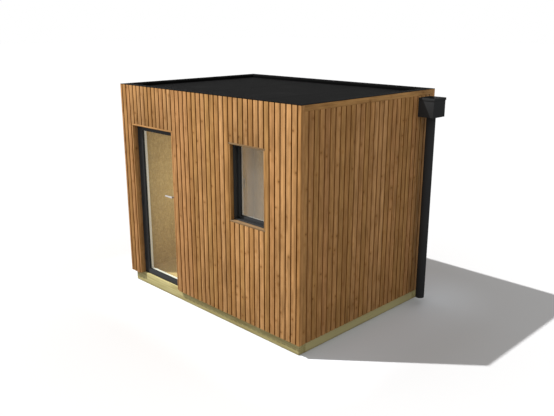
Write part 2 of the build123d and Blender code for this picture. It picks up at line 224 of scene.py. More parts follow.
class Finish(Nodes):
    """A material, with the patterns and mixes that the materials share."""

    def __init__(self, name):
        self.material = bpy.data.materials.new(name)
        self.material.use_nodes = True
        super().__init__(self.material.node_tree)

    def coordinates(self, output="Object"):
        """Coordinates that stay with the piece."""
        return self.node("ShaderNodeTexCoord", output=output)

    def axis(self, name, source="Object"):
        """One of the piece's coordinates, or one part of its normal."""
        return self.node("ShaderNodeSeparateXYZ", None, {0: self.coordinates(source)}, name)

    def vector_maths(self, operation, *values, output=0):
        """A Vector Math node."""
        return self.node("ShaderNodeVectorMath", {"operation": operation}, dict(enumerate(values)), output)

    def tone(self):
        """The tone that each board carries."""
        return self.node("ShaderNodeAttribute", {"attribute_name": TONE_LAYER}, output="Fac")

    def stretched(self, scale, shift=None):
        """Coordinates scaled along each axis, moved by a value for each board."""
        scaled = self.vector_maths("MULTIPLY", self.coordinates(), scale)
        if shift is None:
            return scaled
        moves = {i: shift * by for i, by in enumerate(BOARD_SHIFT)}
        return self.vector_maths("ADD", scaled, self.node("ShaderNodeCombineXYZ", None, moves))

    def noise(self, scale, detail, roughness=0.55, shift=None):
        """Fractal noise from 0 to 1, with a scale for each axis."""
        return self.node("ShaderNodeTexNoise", None, {
            "Vector": self.stretched(scale, shift), "Scale": 1.0, "Detail": detail, "Roughness": roughness,
        })

    def mix(self, factor, first, second, blend="MIX"):
        """Two colours mixed by a value."""
        settings = {"data_type": "RGBA", "blend_type": blend}
        return self.node("ShaderNodeMix", settings, {0: factor, 6: first, 7: second}, output=2)

    def shaded(self, colour, value):
        """A colour times a grey."""
        grey = self.node("ShaderNodeCombineColor", None, {0: value, 1: value, 2: value})
        return self.mix(1.0, colour, grey, "MULTIPLY")

    def surface(self, colour, roughness, specular=0.5, metallic=0.0, bump=None):
        """The main shader, with a bump of height, strength and depth, joined to the output."""
        sockets = {
            "Base Color": colour, "Roughness": roughness,
            "Specular IOR Level": specular, "Metallic": metallic,
        }
        if bump:
            raised = dict(zip(("Height", "Strength", "Distance"), bump))
            sockets["Normal"] = self.node("ShaderNodeBump", None, raised)
        return self.output(self.node("ShaderNodeBsdfPrincipled", None, sockets))

    def output(self, shader):
        """Join a shader to the output and give back the material."""
        self.node("ShaderNodeOutputMaterial", None, {"Surface": shader})
        return self.material


# Materials

def grain_scale(along, across, lengthwise):
    """Scales that stretch a pattern along one axis."""
    return tuple(lengthwise if axis == along else across for axis in "XYZ")


def board_wood(name, along, wood, fade=0.0, dim=1.0):
    """Oiled softwood with fibres, growth lines and knots, faded by weather, with painted shade in its
    grooves.
    """
    f = Finish(name)
    board = f.tone()
    raised = board.rise(-0.001, 0.0)
    fibre = f.noise(grain_scale(along, 260, 7), 6, 0.65, board)
    streak = f.noise(grain_scale(along, 64, 1.4), 2, shift=board)
    drift = f.noise(grain_scale(along, 11, 0.8), 3, shift=board)
    growth = (drift * 46 + fibre * 1.5).maths("SINE") * 0.5 + 0.5
    blotch = f.noise(grain_scale(along, 18, 4.2), 4, shift=board).rise(0.3, 0.72)
    spots = f.node("ShaderNodeTexVoronoi", None, {"Vector": f.stretched((9, 9, 9), board), "Scale": 1.0})
    knot = 1 - spots.rise(0.045, 0.13)
    halo = 1 - spots.rise(0.1, 0.34)
    tone = f.node("ShaderNodeValToRGB", {"stops": [
        (0.0, wood.tone_light), (0.3, wood.tone_mid), (0.52, wood.tone_warm),
        (0.76, wood.tone_olive), (1.0, wood.tone_deep),
    ]}, {"Fac": board.maths("ABSOLUTE")})
    reddened = f.mix(halo * 0.4 + blotch * 0.25, tone, wood.tone_ember)
    # Painted shade: faces of negative tone, the tongues and the boards' sides, take the dark groove colour
    faced = f.mix((1 - raised) * dim, reddened, wood.groove_painted_shade)
    shade = fibre * 0.34 + streak * 0.85 + growth * 0.14 - blotch * 0.36 - halo * 0.12 + 0.55
    toned = f.shaded(faced, shade)
    knotted = f.mix(knot * raised * 0.7, toned, wood.knot_colour)
    end_grain = f.axis(along, "Normal").maths("ABSOLUTE").rise(0.7, 0.95)
    cut = f.mix(end_grain * 0.45, knotted, wood.end_colour)
    colour = f.mix(fade, cut, wood.weathered) if fade else cut
    height = fibre * 0.6 + growth * 0.25 - knot * 0.3
    return f.surface(colour, fibre * 0.25 + 0.5, specular=0.07, bump=(height, 0.35, 0.0012))


def treated_timber(name, along, wood, green, streaks):
    """Pressure-treated timber: greenish, with drying checks, darker streaks, and darker towards the foot."""
    f = Finish(name)
    piece = f.tone()
    fibre = f.noise(grain_scale(along, 190, 5), 6, 0.62, piece)
    drift = f.noise(grain_scale(along, 14, 0.7), 3, shift=piece)
    growth = (drift * 40 + fibre).maths("SINE") * 0.5 + 0.5
    patch = f.noise(grain_scale(along, 7, 2.5), 4, shift=piece)
    check = f.noise(grain_scale(along, 120, 1.6), 2, shift=piece).rise(0.68, 0.74)
    greener = patch.rise(0.3, 0.75) * (1 - piece * 0.6) * green
    base = f.mix(greener, wood.treated_light, wood.treated_green)
    lined = f.mix((growth * 0.3 + fibre * 0.25) * streaks, base, wood.treated_streak)
    checked = f.mix(check * 0.5, lined, wood.knot_colour)
    darker_foot = (1 - (f.axis("Z") + patch * 0.02).rise(FOOT_DARK_FULL, FOOT_DARK_END)) * 0.35
    colour = f.mix(darker_foot, checked, wood.knot_colour)
    height = fibre * 0.7 + growth * 0.3 - check
    return f.surface(colour, fibre * 0.2 + 0.65, specular=0.2, bump=(height, 0.4, 0.0015))


def strand_layer(f, turn, shift):
    """Long thin strands that lie at one angle, each with its own tone and a thin dark rim."""
    turned = f.node(
        "ShaderNodeVectorRotate", {"rotation_type": "EULER_XYZ"},
        {"Vector": f.coordinates(), "Rotation": (turn, turn, turn)},
    )
    sockets = {"Vector": f.vector_maths("MULTIPLY_ADD", turned, STRAND_SCALE, shift), "Scale": 1.0}
    tone = f.node("ShaderNodeTexVoronoi", None, sockets, output="Color")
    rim = f.node("ShaderNodeTexVoronoi", {"feature": "DISTANCE_TO_EDGE"}, sockets, output="Distance")
    return f.node("ShaderNodeSeparateColor", None, {0: tone}), rim.rise(0.0, 0.09)


def lining_board(name, wood, brightness=1.0):
    """Strand board: pale strands pressed at two angles, with painted shade in the room's upright corners."""
    f = Finish(name)
    (first, first_rim), (second, second_rim) = (strand_layer(f, *layer) for layer in STRAND_LAYERS)
    fine = f.noise((240, 240, 240), 3)
    over = f.noise((19, 19, 19), 1).rise(0.48, 0.52)
    strand = over * first + (1 - over) * second
    rim = over * first_rim + (1 - over) * second_rim
    base = f.mix(strand, wood.lining_light, wood.lining_dark)
    # Painted shade in the room's upright corners
    side = f.axis("X").maths("ABSOLUTE").rise(ROOM_HALF_X - CORNER_REACH, ROOM_HALF_X)
    deep = f.axis("Y").maths("ABSOLUTE").rise(ROOM_HALF_Y - CORNER_REACH, ROOM_HALF_Y)
    shade = (fine * 0.3 + 0.85) * (rim * 0.22 + 0.78) * (1 - side * deep * 0.4) * brightness
    height = strand * 0.6 + rim * 0.5 + fine * 0.2
    return f.surface(f.shaded(base, shade), fine * 0.15 + 0.62, specular=0.2, bump=(height, 0.3, 0.001))


def rubber_sheet(name, roof):
    """Black roofing sheet with chalky dust and faint rolled marks."""
    f = Finish(name)
    dust = f.noise((2.3, 2.3, 2.3), 6, 0.6)
    fine = f.noise((420, 420, 420), 2)
    rolled = f.noise((0.8, 9, 9), 3)
    mark = dust.rise(0.52, 0.8) * 0.5 + rolled.rise(0.55, 0.9) * 0.25
    colour = f.mix(mark, roof.sheet_colour, roof.dust_colour)
    height = fine * 0.5 + rolled
    return f.surface(colour, 0.92 - mark * 0.1, specular=0.02, bump=(height, 0.25, 0.0012))


def coated_metal(name, colour, worn, sheen, gloss=0.05):
    """Powder coat: fine texture, slight dust, a satin sheen, and painted shade, varied by the dust, on faces
    that look up.
    """
    f = Finish(name)
    peel = f.noise((900, 900, 900), 2)
    dust = f.noise((6, 6, 2.2), 5, 0.6)
    tinted = f.mix(dust.rise(0.45, 0.85) * 0.35, colour, worn)
    # Painted shade: faces that look up are darkened against the sun that falls on them
    grime_and_painted_shade = f.axis("Z", "Normal").rise(0.3, 0.9) * (dust * 0.4 + 0.45)
    top_shaded = f.mix(grime_and_painted_shade, tinted, [c * 0.35 for c in colour])
    return f.surface(top_shaded, dust * 0.2 + sheen, specular=gloss, bump=(peel, 0.12, 0.0004))


def white_bead(name, colour):
    """White moulded bead with a faint grime in its length."""
    f = Finish(name)
    grime_and_painted_shade = f.noise((40, 40, 5), 4)
    shade = f.mix(grime_and_painted_shade.rise(0.5, 0.9) * 0.25, colour, BEAD_GRIME)
    return f.surface(shade, grime_and_painted_shade * 0.15 + 0.28, specular=0.4)


def soft_gasket(name):
    """Black gasket rubber."""
    f = Finish(name)
    fine = f.noise((700, 700, 700), 2)
    dust = f.mix(fine * 0.4, GASKET_COLOUR, GASKET_DUST)
    return f.surface(dust, fine * 0.2 + 0.6, specular=0.2)


def satin_steel(name, colour):
    """Satin stainless steel with fine brushing."""
    f = Finish(name)
    brushed = f.noise((60, 1400, 1400), 3)
    tint = f.mix(brushed * 0.3, colour, STEEL_BRUSHED)
    return f.surface(tint, brushed * 0.18 + 0.24, metallic=0.9, bump=(brushed, 0.06, 0.0003))


def clear_glass(name, tint, mirror, film):
    """Clear pane: see-through, with a reflection that grows at a slant and a thin film of dust."""
    f = Finish(name)
    smear = f.noise((3.0, 3.0, 1.3), 5, 0.6) * 0.6 + 0.7
    through = f.node("ShaderNodeBsdfTransparent", None, {"Color": tint})
    gloss = f.node("ShaderNodeBsdfGlossy", None, {"Color": WHITE, "Roughness": 0.02 + 1.5 * film})
    front_lit = f.node("ShaderNodeBsdfDiffuse", None, {"Color": PANE_DUST})
    back_lit = f.node("ShaderNodeBsdfTranslucent", None, {"Color": PANE_DUST})
    dust = f.node("ShaderNodeMixShader", None, {0: DUST_THROUGH, 1: front_lit, 2: back_lit})
    inside = f.node("ShaderNodeNewGeometry", output="Backfacing")
    index = GLASS_INDEX - inside * (GLASS_INDEX - 1 / GLASS_INDEX)
    slant = f.node("ShaderNodeFresnel", None, {"IOR": index})
    hazed = f.node("ShaderNodeMixShader", None, {0: smear * film, 1: through, 2: dust})
    return f.output(f.node("ShaderNodeMixShader", None, {0: slant * smear * mirror, 1: hazed, 2: gloss}))


# Mesh making

def rectangle(u0, u1, v0, v1):
    """Corners of a rectangle, anticlockwise."""
    return [(u0, v0), (u1, v0), (u1, v1), (u0, v1)]


def narrowed(sides, by):
    """A rectangle (u0, u1, v0, v1) with every side moved in."""
    return (sides[0] + by, sides[1] - by, sides[2] + by, sides[3] - by)


def add_object(name, data):
    """A new object in the scene."""
    made = bpy.data.objects.new(name, data)
    bpy.context.scene.collection.objects.link(made)
    return made


def finish_mesh(name, bm, material, nodes, body="building", sharp=28):
    """Turn a bmesh into a piece that replaces nodes and rides on a body."""
    bmesh.ops.recalc_face_normals(bm, faces=bm.faces)
    mesh = bpy.data.meshes.new(name)
    for face in bm.faces:
        face.smooth = True
    bm.to_mesh(mesh)
    bm.free()
    mesh.set_sharp_from_angle(angle=math.radians(sharp))
    mesh.materials.append(material)
    piece = add_object(name, mesh)
    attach(piece, body)
    if nodes:
        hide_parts(*nodes)


def offset_outline(outline, by):
    """A closed outline, drawn anticlockwise, with every edge moved in."""
    moved = []
    count = len(outline)
    for i, point in enumerate(outline):
        before = (Vector(point) - Vector(outline[i - 1])).normalized()
        after = (Vector(outline[(i + 1) % count]) - Vector(point)).normalized()
        n0 = Vector((-before.y, before.x))
        n1 = Vector((-after.y, after.x))
        step = (n0 + n1) * (by / (1 + n0.dot(n1)))
        moved.append((point[0] + step.x, point[1] + step.y))
    return moved


def prism(bm, outline, place, near, far, ease, tone, ends=None):
    """A board drawn by its outline, rounded at the front; its sides away from the ends, if given, take the
    painted groove shade.
    """
    layer = bm.faces.layers.float[TONE_LAYER]
    part = ROUND_SHARE * ease
    steps = [(ease, near), (part, near + part), (0.0, near + ease), (0.0, far)]
    rings = [
        [bm.verts.new(place(u, v, depth)) for u, v in offset_outline(outline, inward)]
        for inward, depth in steps
    ]
    for face in (bm.faces.new(rings[0]), bm.faces.new(rings[-1][::-1])):
        face[layer] = tone
    count = len(outline)
    for inner, outer in zip(rings, rings[1:]):
        straight = outer is rings[-1]
        for i in range(count):
            j = (i + 1) % count
            face = bm.faces.new((inner[i], outer[i], outer[j], inner[j]))
            u0, u1 = outline[i][0], outline[j][0]
            hidden = ends and abs(u0 - u1) < TOUCH and min(abs(u0 - end) for end in ends) > TOUCH
            face[layer] = -tone if hidden and straight else tone


def band(bm, a, b):
    """Faces between two loops of vertices."""
    count = len(a)
    for i in range(count):
        j = (i + 1) % count
        bm.faces.new((a[i], a[j], b[j], b[i]))


def disc(bm, centre, axis, radius, height, sides):
    """A short round boss with a rounded front rim, standing along an axis."""
    axis = Vector(axis)
    side = axis.orthogonal().normalized()
    other = axis.cross(side)
    ease = SMALL_EASE
    part = ROUND_SHARE * ease
    steps = [(radius, 0.0), (radius, height - ease), (radius - part, height - part), (radius - ease, height)]
    turns = [2 * math.pi * k / sides for k in range(sides)]
    spokes = [side * math.cos(turn) + other * math.sin(turn) for turn in turns]
    rings = [
        [bm.verts.new(Vector(centre) + axis * rise + spoke * reach) for spoke in spokes]
        for reach, rise in steps
    ]
    bm.faces.new(rings[0][::-1])
    bm.faces.new(rings[-1])
    for a, b in zip(rings, rings[1:]):
        band(bm, a, b)


def tone_solids(bm, seed):
    """Give each loose solid of a mesh a tone of its own."""
    tones = random.Random(seed)
    layer = bm.faces.layers.float.new(TONE_LAYER)
    seen = set()
    for first in bm.faces:
        if first in seen:
            continue
        tone = tones.random()
        stack = [first]
        while stack:
            face = stack.pop()
            face[layer] = tone
            seen.add(face)
            stack += [f for edge in face.edges for f in edge.link_faces if f not in seen]


def eased_copy(name, node, ease, material, body="building", seed=1, segments=2):
    """A node's shape with rounded edges and a tone for each loose solid."""
    bm = bmesh.new()
    bm.from_mesh(NODES[node].data)
    bmesh.ops.remove_doubles(bm, verts=bm.verts, dist=TOUCH)
    bmesh.ops.dissolve_limit(bm, angle_limit=FLAT_ANGLE, verts=bm.verts, edges=bm.edges)
    tone_solids(bm, seed)
    corners = [
        e for e in bm.edges
        if len(e.link_faces) == 2 and e.is_convex and e.calc_face_angle() > CORNER_ANGLE
    ]
    bmesh.ops.bevel(
        bm, geom=corners, offset=ease, segments=segments, profile=0.5,
        affect="EDGES", clamp_overlap=True,
    )
    bmesh.ops.dissolve_degenerate(bm, dist=NO_LENGTH, edges=bm.edges)
    finish_mesh(name, bm, material, [node], body)


def repaint(node, material):
    """Give a node that keeps its shape a better material."""
    NODES[node].data.materials.clear()
    NODES[node].data.materials.append(material)


def glaze(opening, prefix, body, bead_colour, tint, mirror, film):
    """A pane with its inner beads."""
    glass = clear_glass(f"{opening}_pane_glass", tint, mirror, film)
    eased_copy(f"{prefix}_pane", f"{opening}_glass", PANE_EASE, glass, body, segments=1)
    white = white_bead(f"{opening}_bead_white", bead_colour)
    eased_copy(f"{prefix}_beads", f"{opening}_glazing_beads", BEAD_EASE, white, body)


def add_gasket(opening, prefix, body):
    """A thin ring of rubber round a pane's outer face, eased at its inner front edge."""
    low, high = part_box(f"{opening}_glazing_beads")
    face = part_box(f"{opening}_glass")[0].y
    front = face - GASKET_DEPTH
    outer = narrowed((low.x, high.x, low.z, high.z), GASKET_LIP)
    inner = narrowed(outer, GASKET_WIDTH)
    eased = narrowed(inner, -GASKET_EASE)
    loops = [(outer, face), (outer, front), (eased, front), (inner, front + GASKET_EASE), (inner, face)]
    bm = bmesh.new()
    rings = [[bm.verts.new((u, y, v)) for u, v in rectangle(*sides)] for sides, y in loops]
    for a, b in zip(rings, rings[1:] + rings[:1]):
        band(bm, a, b)
    rubber = soft_gasket(f"{prefix}_gasket_rubber")
    finish_mesh(f"{prefix}_gasket", bm, rubber, [], body)


# Cladding

class Wall(NamedTuple):
    """One clad wall: its place, its boards' layout, the openings in it and the nodes it replaces."""

    name: str
    nodes: list
    place: object
    run: tuple
    rise: tuple
    layout: tuple
    material: object
    seed: int
    openings: tuple = ()
    cornered: bool = False


def board_outlines(u0, u1, low, high, openings, sliver):
    """Outlines of one board between two levels, cut round the opening that it meets."""
    for x0, x1, z0, z1 in openings:
        left, right = max(u0, x0), min(u1, x1)
        if right <= left:
            continue
        if left - u0 < sliver and u1 - right < sliver:
            above = rectangle(u0, u1, z1, high)
            return [above] if z0 <= low else [above, rectangle(u0, u1, low, z0)]
        near, far, cut = (u0, u1, left) if left - u0 >= sliver else (u1, u0, right)
        foot = [(cut, low)] if z0 <= low else [(far, low), (far, z0), (cut, z0)]
        outline = [(near, low), *foot, (cut, z1), (far, z1), (far, high), (near, high)]
        return [outline if near < far else outline[::-1]]
    return [rectangle(u0, u1, low, high)]


def groove_runs(wall, wood):
    """The two edges of each groove along a wall."""
    start, end = wall.run
    first, pitch = wall.layout
    half = wood.groove_width / 2
    runs = []
    centre = start + first
    while centre < end - half:
        runs.append((centre - half, centre + half))
        centre += pitch
    return runs


def lay_boards(bm, wall, wood, grooves, draw):
    """Boards between the grooves, with strips at the tongue's depth where an opening leaves a sliver."""
    low, high = wall.rise
    edges = [wall.run[0], *(edge for groove in grooves for edge in groove), wall.run[1]]
    for u0, u1 in zip(edges[::2], edges[1::2]):
        if u1 - u0 < wood.sliver:
            continue
        tone = draw.random()
        sunk = draw.random() * wood.board_unevenness
        for outline in board_outlines(u0, u1, low, high, wall.openings, wood.sliver):
            prism(bm, outline, wall.place, sunk, wood.board_thickness, wood.board_ease, tone, wall.run)
        for x0, x1, z0, z1 in wall.openings:
            for a, b in ((u0, min(x0, u1)), (max(x1, u0), u1)):
                if 0 < b - a < wood.sliver and b - a < u1 - u0:
                    # Strips at the tongue's depth take the painted groove shade
                    strip = rectangle(a, b, max(low, z0), z1)
                    prism(bm, strip, wall.place, wood.groove_depth, wood.board_thickness, TONGUE_EASE, -tone)


def lay_tongues(bm, wall, wood, grooves, draw):
    """Recessed tongues that fill the grooves."""
    low, high = wall.rise[0] + TONGUE_SETBACK, wall.rise[1] - TONGUE_SETBACK
    for u0, u1 in grooves:
        # A negative tone gives each tongue the painted groove shade
        tone = -draw.random()
        for outline in board_outlines(u0, u1, low, high, wall.openings, TONGUE_SLIVER):
            prism(bm, outline, wall.place, wood.groove_depth, wood.board_thickness, TONGUE_EASE, tone)


def lay_battens(bm, wall, wood, draw):
    """Level battens behind the boards, broken at the openings, and upright ones where walls meet."""
    start, end = wall.run
    inset = CLADDING_DEPTH if wall.cornered else 0.0
    for level in (wall.rise[0] + BATTEN_ABOVE_FOOT, wall.rise[1] - BATTEN_BELOW_TOP):
        runs = [(start + inset, end - inset)]
        for x0, x1, z0, z1 in wall.openings:
            if z0 <= level <= z1:
                pieces = [piece for a, b in runs for piece in ((a, x0), (x1, b))]
                runs = [(a, b) for a, b in pieces if b - a > BATTEN_SHORTEST]
        for a, b in runs:
            outline = rectangle(a, b, level, level + BATTEN_WIDTH)
            tone = draw.random()
            prism(bm, outline, wall.place, wood.board_thickness, CLADDING_DEPTH, BATTEN_EASE, tone)
    for a, b in ((start, start + inset), (end - inset, end)) if wall.cornered else ():
        outline = rectangle(a, b, *wall.rise)
        prism(bm, outline, wall.place, wood.board_thickness, CLADDING_DEPTH, TONGUE_EASE, CORNER_TONE)


def clad_wall(wall, wood):
    """Boards with recessed tongues between them, on battens."""
    draw = random.Random(wall.seed)
    bm = bmesh.new()
    bm.faces.layers.float.new(TONE_LAYER)
    grooves = groove_runs(wall, wood)
    lay_boards(bm, wall, wood, grooves, draw)
    lay_tongues(bm, wall, wood, grooves, draw)
    lay_battens(bm, wall, wood, draw)
    finish_mesh(wall.name, bm, wall.material, wall.nodes)


# Settings

def length_setting(name, description, default):
    """A length in metres."""
    return FloatProperty(name=name, description=description, default=default, unit="LENGTH")


def colour_setting(name, description, default):
    """A colour."""
    return FloatVectorProperty(name=name, description=description, default=default, subtype="COLOR")


def share_setting(name, description, default):
    """A share from 0 to 1."""
    return FloatProperty(
        name=name, description=description, default=default, min=0.0, max=1.0, subtype="FACTOR",
    )


def angle_setting(name, description, degrees):
    """An angle."""
    return FloatProperty(name=name, description=description, default=math.radians(degrees), subtype="ANGLE")


class StudioWood(bpy.types.PropertyGroup):
    """Sizes and colours of the timber"""

    board_pitch: length_setting("Board pitch", "Distance between grooves", 0.074)
    groove_width: length_setting("Groove width", "Width of the gap between boards", 0.015)
    groove_depth: length_setting("Groove depth", "Depth of the gap down to the tongue", 0.012)
    board_thickness: length_setting("Board thickness", "Thickness of a board", 0.021)
    board_ease: length_setting("Board edge", "Rounding of a board's edges", 0.0022)
    board_unevenness: length_setting("Unevenness", "How far a board may sit back", 0.0007)
    sliver: length_setting("Sliver", "Narrower strips lie at the tongue's depth", 0.012)
    front_first: length_setting("First groove at front", "From the left corner", 0.038)
    end_first: length_setting("First groove at ends", "From the end cladding's front edge", 0.0585)
    end_pitch: length_setting("Board pitch at ends", "Distance between their grooves", 0.0755)
    # The right wall stands in shade, where grooves show less, so it takes a smaller share of the painted
    # groove shade
    right_grooves: share_setting("Right grooves", "Share of the groove colour on the right wall", 0.45)
    sill_fade: share_setting("Sill fade", "Share of grey on the window's head and sill", 0.8)
    floor_brightness: FloatProperty(
        name="Floor brightness", description="Brightness against the wall lining", default=1.04,
    )
    tone_light: colour_setting("Light boards", "Palest board", (0.465, 0.252, 0.102))
    tone_mid: colour_setting("Mid boards", "Usual board", (0.43, 0.225, 0.085))
    tone_warm: colour_setting("Warm boards", "Reddish board", (0.435, 0.22, 0.086))
    tone_olive: colour_setting("Olive boards", "Yellowish board", (0.395, 0.212, 0.073))
    tone_deep: colour_setting("Deep boards", "Darkest board", (0.365, 0.184, 0.064))
    tone_ember: colour_setting("Ember patches", "Redder patches in a board", (0.4, 0.18, 0.052))
    # Painted shade in the grooves, on the tongues and the boards' sides
    groove_painted_shade: colour_setting("Grooves", "Tongue between boards", (0.19, 0.068, 0.006))
    knot_colour: colour_setting("Knots", "Knots and checks", (0.13, 0.062, 0.022))
    weathered: colour_setting("Weathered", "Wood greyed by rain", (0.19, 0.13, 0.072))
    end_colour: colour_setting("End grain", "Cut ends of boards", (0.3, 0.175, 0.08))
    treated_light: colour_setting("Treated timber", "Pale treated timber", (0.56, 0.495, 0.242))
    treated_green: colour_setting("Treated green", "Greener patches", (0.4, 0.385, 0.165))
    treated_streak: colour_setting("Treated streaks", "Growth lines", (0.33, 0.265, 0.1))
    lining_light: colour_setting("Lining", "Pale strands of the lining", (0.6, 0.435, 0.19))
    lining_dark: colour_setting("Lining figure", "Darker strands of the lining", (0.5, 0.35, 0.145))


class StudioJoinery(bpy.types.PropertyGroup):
    """Sizes and colours of the door, window and metalwork"""

    edge: length_setting("Frame edge", "Rounding of frame edges", 0.0018)
    frame_colour: colour_setting("Frames", "Dark coat of frames", (0.04, 0.041, 0.042))
    frame_dust: colour_setting("Frame dust", "Paler dust on frames", (0.052, 0.053, 0.054))
    bead_colour: colour_setting("Beads", "White inner beads", (0.83, 0.81, 0.77))
    glass_tint: colour_setting("Glass", "Colour seen through a pane", (0.93, 0.95, 0.93))
    window_tint: colour_setting("Window glass", "Colour seen through the window", (0.8, 0.82, 0.83))
    door_mirror: share_setting("Door mirror", "Share mirrored by the door's pane", 0.22)
    window_mirror: share_setting("Window mirror", "Share mirrored by the window", 0.35)
    door_film: share_setting("Door film", "Share of dust on the door's pane", 0.004)
    window_film: share_setting("Window film", "Share of dust on the window", 0.17)
    steel_colour: colour_setting("Steel", "Satin steel", (0.62, 0.6, 0.57))
    gutter_colour: colour_setting("Rainwater goods", "Black coat", (0.04, 0.041, 0.042))
    gutter_dust: colour_setting("Rainwater dust", "Dust on the black coat", (0.054, 0.055, 0.053))


class StudioRoof(bpy.types.PropertyGroup):
    """Sizes and colours of the roof"""

    sheet_width: length_setting("Sheet width", "Distance between laps", 1.0)
    lap_height: length_setting("Lap height", "Rise of a lap", 0.003)
    ripple: length_setting("Ripple", "Unevenness of the sheet", 0.0012)
    cells: IntProperty(name="Cells", description="Cells along the roof", default=96, min=8)
    sheet_colour: colour_setting("Sheet", "Black sheet", (0.0047, 0.0047, 0.0047))
    dust_colour: colour_setting("Dust", "Chalky dust", (0.01, 0.01, 0.0098))


class StudioStage(bpy.types.PropertyGroup):
    """Camera, light and floor"""

    camera_place: FloatVectorProperty(
        name="Camera", description="Place of the camera", default=(5.464, -5.3396, 3.2164),
        subtype="TRANSLATION",
    )
    camera_azimuth: angle_setting("Azimuth", "Turn of the camera", 45.2115)
    camera_drop: angle_setting("Drop", "How far the camera looks down", 15.938)
    focal_pixels: FloatProperty(
        name="Focal length", description="In pixels of the picture", default=653.914, subtype="PIXEL",
    )
    sun_travel: FloatVectorProperty(
        name="Sun", description="Way that the sunlight travels", default=(0.449, 0.388, -0.805),
        subtype="DIRECTION",
    )
    sun_width: angle_setting("Sun width", "Angle that the sun fills", 0.8)
    sun_strength: FloatProperty(name="Sun strength", description="Strength of the sun", default=4.6)
    sky_strength: share_setting("Sky strength", "Even light from all round", 0.62)
    room_power: FloatProperty(
        name="Room light", description="Power of the room's lights", default=29.4, unit="POWER",
    )
    floor_pale: share_setting("Floor", "Paleness of the floor", 0.575)
    # Painted light on the floor beside the walls, which offsets their shade on it
    floor_painted_light: colour_setting("Floor beside walls", "Paler floor close to the walls", (0.71, 0.73, 0.755))
    floor_reach: length_setting("Reach", "How far the paler floor reaches", 1.0)
    floor_bounce: share_setting("Floor bounce", "Paleness that lights the walls", 0.22)


# Operators

class STUDIO_OT_cladding(bpy.types.Operator):
    """Clad the four walls with boards and trim the tops of the ends"""

    bl_idname = "studio.cladding"
    bl_label = "Cladding"

    def execute(self, context):
        wood = context.scene.studio_wood
        upright = board_wood("board_wood_upright", "Z", wood)
        # The right wall, in shade, takes less of the painted groove shade
        right_lighter_groove_shade = board_wood("board_wood_right", "Z", wood, dim=wood.right_grooves)
        for wall in (*self.long_walls(wood, upright), *self.end_walls(wood, upright, right_lighter_groove_shade)):
            clad_wall(wall, wood)
        level = board_wood("board_wood_level_y", "Y", wood)
        eased_copy("end_top_trim_boards", "end_top_trims", TRIM_EASE, level, seed=5)
        return {"FINISHED"}

    def long_walls(self, wood, material):
        """The front, with its two openings, and the back."""
        low, high = FRONT_LOW, FRONT_HIGH
        door_low, door_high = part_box("door_reveal_head")
        window_low, window_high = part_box("window_reveal_head_and_sill")
        openings = (
            (door_low.x, door_high.x, low.z, door_high.z),
            (window_low.x, window_high.x, window_low.z, window_high.z),
        )
        front = Wall(
            "front_cladding_boards",
            ["front_cladding_piers", "front_cladding_headers", "front_cladding_under_window"],
            lambda u, v, d: (u, low.y + d, v), (low.x, high.x), (low.z, high.z),
            (wood.front_first, wood.board_pitch), material, seed=11, openings=openings, cornered=True,
        )
        back = front._replace(
            name="back_cladding_boards", nodes=["back_cladding"], place=lambda u, v, d: (u, -low.y - d, v),
            seed=23, openings=(),
        )
        return front, back

    def end_walls(self, wood, left_material, right_material):
        """The right end and the left end."""
        low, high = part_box("right_cladding")
        right = Wall(
            "right_cladding_boards", ["right_cladding"], lambda u, v, d: (high.x - d, u, v),
            (low.y, high.y), (low.z, high.z), (wood.end_first, wood.end_pitch), right_material, seed=37,
        )
        left = right._replace(
            name="left_cladding_boards", nodes=["left_cladding"], place=lambda u, v, d: (d - high.x, u, v),
            material=left_material, seed=41,
        )
        return right, left


class STUDIO_OT_reveals(bpy.types.Operator):
    """Line the door and window openings with boards"""

    bl_idname = "studio.reveals"
    bl_label = "Reveal boards"

    def execute(self, context):
        wood = context.scene.studio_wood
        upright = board_wood("reveal_wood_upright", "Z", wood)
        level = board_wood("reveal_wood_level", "X", wood)
        weathered = board_wood("sill_wood_weathered", "X", wood, fade=wood.sill_fade)
        for node, material, seed in (
            ("door_reveal_sides", upright, 3), ("door_reveal_head", level, 4),
            ("window_reveal_sides", upright, 6), ("window_reveal_head_and_sill", weathered, 8),
        ):
            eased_copy(f"{node}_boards", node, REVEAL_EASE, material, seed=seed)
        return {"FINISHED"}


class STUDIO_OT_base(bpy.types.Operator):
    """Finish the bearers, joists and floor"""

    bl_idname = "studio.base"
    bl_label = "Base and floor"

    def execute(self, context):
        wood = context.scene.studio_wood
        along_x = treated_timber("treated_timber_x", "X", wood, green=1.0, streaks=1.9)
        # Painted light: the copy along Y leaves out the green patches and streaks, so the end bearers, in
        # shade under the cladding, read lighter
        lighter_along_y = treated_timber("treated_timber_y", "Y", wood, green=0.0, streaks=0.0)
        for name, node, material, seed, segments in (
            ("long_bearer_timbers", "base_long_bearers", along_x, 2, 3),
            ("end_bearer_timbers", "base_end_bearers", lighter_along_y, 9, 3),
            ("joist_timbers", "floor_joists", lighter_along_y, 12, 2),
        ):
            eased_copy(name, node, TIMBER_EASE, material, seed=seed, segments=segments)
        repaint("floor_deck", lining_board("floor_board", wood, wood.floor_brightness))
        return {"FINISHED"}


class STUDIO_OT_walls(bpy.types.Operator):
    """Finish the wall panels and the ceiling seen from inside"""

    bl_idname = "studio.walls"
    bl_label = "Walls and ceiling"

    def execute(self, context):
        wood = context.scene.studio_wood
        lining = lining_board("wall_lining_board", wood)
        for node in (name for name in NODES if "_wall" in name):
            repaint(node, lining)
        repaint("roof_deck", lining_board("ceiling_board", wood))
        return {"FINISHED"}


